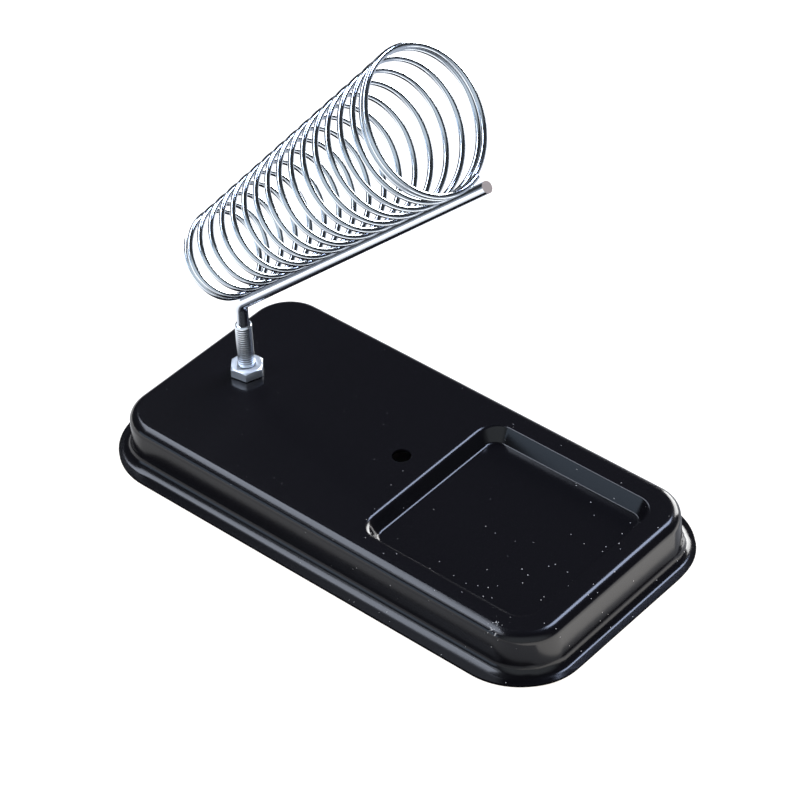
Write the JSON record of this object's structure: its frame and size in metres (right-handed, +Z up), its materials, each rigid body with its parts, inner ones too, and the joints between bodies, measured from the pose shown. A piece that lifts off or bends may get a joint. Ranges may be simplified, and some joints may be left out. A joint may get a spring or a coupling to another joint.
{
  "type": "soldering iron stand",
  "caption": "Soldering iron stand: pressed steel base with a sponge well, and a tapered wire coil on a bent rod that swivels on an upright post to hold the hot iron.",
  "frame": {"origin": "middle of the base's footprint, at the underside of the flange that it stands on", "axes": "+X along the base from the post towards the sponge well, +Y across the base, +Z up"},
  "size_m": [0.165, 0.085, 0.1455],
  "materials": {
    "black_paint": "high-gloss black enamel",
    "zinc": "bright zinc plating",
    "bright_wire": "bright nickel plating on drawn wire"
  },
  "bodies": {
    "base": {"base_tray": "black_paint"},
    "arm": {"post_nut": "zinc", "post_stud": "zinc", "support_rod": "zinc", "holder_coil": "bright_wire", "plain_washer": "zinc", "lock_washer": "zinc", "base_nut": "zinc"}
  },
  "joints": [
    {"name": "arm_swivel", "type": "hinge", "parent": "base", "child": "arm", "pos_m": [-0.0589, 0.0011, 0.0142], "axis": [0, 0, 1], "continuous": true}
  ]
}
